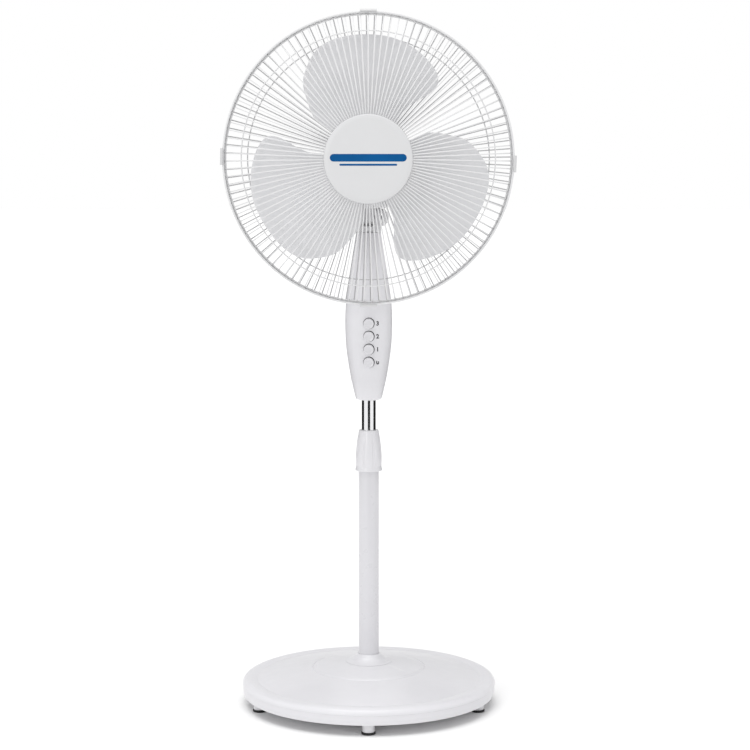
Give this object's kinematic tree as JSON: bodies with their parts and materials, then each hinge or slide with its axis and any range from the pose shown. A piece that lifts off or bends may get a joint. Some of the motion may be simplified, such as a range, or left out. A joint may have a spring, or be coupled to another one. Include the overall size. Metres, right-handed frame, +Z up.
{
  "type": "pedestal fan",
  "caption": "Free-standing electric fan with a round weighted base, telescopic pole, push-button housing and a tilting, oscillating head inside a wire guard.",
  "frame": {"origin": "on the floor under the centre of the base, on the axis of the pole", "axes": "+Z up along the pole, -Y towards the front where the air goes, +X to the right seen from the front"},
  "size_m": [0.4441, 0.4, 1.0798],
  "materials": {
    "white_plastic": "moulded, satin gloss",
    "white_paint": "powder coated, satin",
    "wire_paint": "white coated wire, gloss",
    "blade_plastic": "pale grey, slightly translucent",
    "badge_plastic": "satin",
    "foot_rubber": "matt",
    "black_plastic": "matt",
    "steel": "zinc plated",
    "chrome_tube": "polished",
    "cast_alloy": "die cast, unpainted",
    "lamination": "stacked sheets, varnished",
    "winding_copper": "enamelled copper wire, varnished",
    "bush_bronze": "sintered, oiled",
    "gear_nylon": "natural nylon",
    "ballast": "cast cement"
  },
  "bodies": {
    "stand": {"base_cover": "white_plastic", "base_weight": "ballast", "base_plate": "white_plastic", "foot_pad_1": "foot_rubber", "foot_pad_2": "foot_rubber", "foot_pad_3": "foot_rubber", "foot_pad_4": "foot_rubber", "foot_pad_5": "foot_rubber", "pole_socket": "white_plastic", "outer_pole": "white_paint", "pole_plug": "steel", "pole_bolt": "steel", "collet_sleeve": "gear_nylon"},
    "collar": {"height_collar": "white_plastic"},
    "mast": {"inner_pole": "chrome_tube", "inner_pole_guide": "gear_nylon", "control_housing_front": "white_plastic", "control_housing_rear": "white_plastic", "switch_block": "black_plastic", "run_capacitor": "black_plastic", "pole_clamp_screw": "steel", "housing_screw": "steel", "cord_gland": "black_plastic", "neck_clevis": "white_plastic", "tilt_bolt": "steel"},
    "button_0": {"button_0": "white_plastic"},
    "button_1": {"button_1": "white_plastic"},
    "button_2": {"button_2": "white_plastic"},
    "button_3": {"button_3": "white_plastic"},
    "tilt_knob": {"tilt_knob": "white_plastic"},
    "yoke": {"neck_yoke": "white_plastic", "pivot_pin": "steel"},
    "link": {"swing_link": "steel"},
    "head": {"gearbox_case": "cast_alloy", "gearbox_lid": "cast_alloy", "motor_front_bell": "cast_alloy", "motor_rear_bell": "cast_alloy", "motor_rear_cover": "white_plastic", "stator_core": "lamination", "stator_winding_front": "winding_copper", "stator_winding_rear": "winding_copper", "front_bush": "bush_bronze", "rear_bush": "bush_bronze", "rear_guard": "wire_paint", "guard_nut": "white_plastic", "front_guard": "wire_paint", "front_badge": "badge_plastic"},
    "rotor": {"rotor_core": "lamination", "motor_shaft": "steel", "drive_pin": "steel", "worm": "steel", "fan_blade": "blade_plastic", "blade_nut": "blade_plastic"},
    "wheel": {"worm_wheel": "gear_nylon"},
    "crank": {"crank_gear": "gear_nylon"},
    "oscillation_knob": {"oscillation_knob": "white_plastic"},
    "guard_clip_1": {"guard_clip_1": "white_plastic"},
    "guard_clip_2": {"guard_clip_2": "white_plastic"},
    "guard_clip_3": {"guard_clip_3": "white_plastic"},
    "guard_clip_4": {"guard_clip_4": "white_plastic"}
  },
  "joints": [
    {"name": "height_slide", "type": "slide", "parent": "stand", "child": "mast", "axis": [0, 0, 1], "range_m": [-0.046, 0.2]},
    {"name": "collar_turn", "type": "hinge", "parent": "stand", "child": "collar", "pos_m": [0, 0, 0.4], "axis": [0, 0, 1], "range_deg": [0, 150]},
    {"name": "tilt", "type": "hinge", "parent": "mast", "child": "yoke", "pos_m": [0, 0, 0.768], "axis": [-1, 0, 0], "range_deg": [-15, 30]},
    {"name": "tilt_knob_turn", "type": "hinge", "parent": "mast", "child": "tilt_knob", "pos_m": [0.025, 0, 0.768], "axis": [1, 0, 0], "range_deg": [0, 180]},
    {"name": "oscillation", "type": "hinge", "parent": "yoke", "child": "head", "pos_m": [0, 0, 0.8], "axis": [0, 0, 1], "range_deg": [-40, 40]},
    {"name": "link_swing", "type": "hinge", "parent": "yoke", "child": "link", "pos_m": [-0.017, 0, 0.82], "axis": [0, 0, 1], "range_deg": [-36, 36]},
    {"name": "blade_spin", "type": "hinge", "parent": "head", "child": "rotor", "pos_m": [0, -0.05, 0.858], "axis": [0, 1, 0], "continuous": true},
    {"name": "worm_wheel_turn", "type": "hinge", "parent": "head", "child": "wheel", "pos_m": [-0.02, 0.024, 0.858], "axis": [0, 0, 1], "continuous": true},
    {"name": "crank_turn", "type": "hinge", "parent": "head", "child": "crank", "pos_m": [0, 0.039, 0.84], "axis": [0, 0, 1], "continuous": true},
    {"name": "oscillation_knob_pull", "type": "slide", "parent": "head", "child": "oscillation_knob", "axis": [0, 0, 1], "range_m": [0, 0.006]},
    {"name": "button_0_press", "type": "slide", "parent": "mast", "child": "button_0", "axis": [0, 1, 0], "range_m": [0, 0.004], "stiffness_N_per_m": 300},
    {"name": "button_1_press", "type": "slide", "parent": "mast", "child": "button_1", "axis": [0, 1, 0], "range_m": [0, 0.004], "stiffness_N_per_m": 300},
    {"name": "button_2_press", "type": "slide", "parent": "mast", "child": "button_2", "axis": [0, 1, 0], "range_m": [0, 0.004], "stiffness_N_per_m": 300},
    {"name": "button_3_press", "type": "slide", "parent": "mast", "child": "button_3", "axis": [0, 1, 0], "range_m": [0, 0.004], "stiffness_N_per_m": 300},
    {"name": "guard_clip_1_flip", "type": "hinge", "parent": "head", "child": "guard_clip_1", "pos_m": [0, -0.1195, 1.0768], "axis": [-1, 0, 0], "range_deg": [0, 100]},
    {"name": "guard_clip_2_flip", "type": "hinge", "parent": "head", "child": "guard_clip_2", "pos_m": [-0.21877, -0.1195, 0.86182], "axis": [-0.0175, 0, -0.9998], "range_deg": [0, 100]},
    {"name": "guard_clip_3_flip", "type": "hinge", "parent": "head", "child": "guard_clip_3", "pos_m": [0, -0.1195, 0.6392], "axis": [1, 0, 0], "range_deg": [0, 100]},
    {"name": "guard_clip_4_flip", "type": "hinge", "parent": "head", "child": "guard_clip_4", "pos_m": [0.21868, -0.1195, 0.85075], "axis": [0.0332, 0, 0.9995], "range_deg": [0, 100]}
  ],
  "couplings": [
    {"joint": "worm_wheel_turn", "follows": "blade_spin", "ratio": 0.05},
    {"joint": "crank_turn", "follows": "blade_spin", "ratio": -0.0125},
    {"joint": "link_swing", "follows": "oscillation", "ratio": 0.89}
  ]
}
